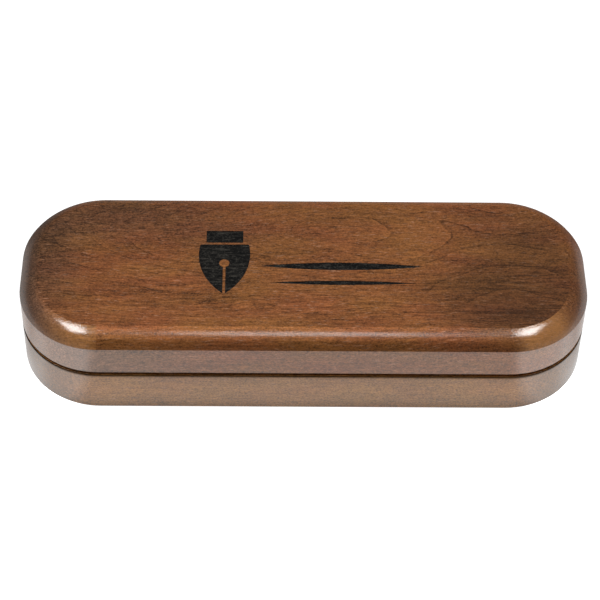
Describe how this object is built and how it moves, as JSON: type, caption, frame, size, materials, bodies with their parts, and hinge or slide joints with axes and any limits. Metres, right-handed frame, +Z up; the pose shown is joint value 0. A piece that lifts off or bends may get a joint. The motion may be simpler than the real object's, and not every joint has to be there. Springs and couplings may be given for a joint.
{
  "type": "fountain pen case",
  "caption": "Wooden case for fountain pens: a rounded lid on rear hinges closes over a routed base with a velvet pen bed, held by magnets.",
  "frame": {"origin": "centre of the base's flat underside, which is the face it rests on", "axes": "+X along the case to the right end as seen from the front, +Y to the back where the hinges are, +Z up out of the lid"},
  "size_m": [0.1778, 0.0669, 0.0318],
  "materials": {
    "stained_wood": "reddish brown stain on fine-grained hardwood, satin to gloss lacquer",
    "black_enamel": "matt black paint fill in the engraving",
    "antique_brass": "brushed brass, slightly darkened",
    "nickel_steel": "nickel plate",
    "velvet": "black velvet",
    "foam": "closed-cell foam",
    "backing_board": "grey millboard"
  },
  "bodies": {
    "base": {"base_shell": "stained_wood", "bed_board": "backing_board", "bed_foam": "foam", "bed_velvet": "velvet", "hinge_left_base_leaf": "antique_brass", "hinge_right_base_leaf": "antique_brass", "hinge_left_pin": "antique_brass", "hinge_right_pin": "antique_brass", "base_hinge_screws": "antique_brass", "base_magnets": "nickel_steel"},
    "lid": {"lid_shell": "stained_wood", "emblem_enamel": "black_enamel", "lid_pad_board": "backing_board", "lid_pad_foam": "foam", "lid_pad_cover": "velvet", "hinge_left_lid_leaf": "antique_brass", "hinge_right_lid_leaf": "antique_brass", "lid_hinge_screws": "antique_brass", "lid_strikes": "nickel_steel"}
  },
  "joints": [
    {"name": "lid_hinge", "type": "hinge", "parent": "base", "child": "lid", "pos_m": [0, 0.0335, 0.01588], "axis": [-1, 0, 0], "range_deg": [0, 180]}
  ]
}
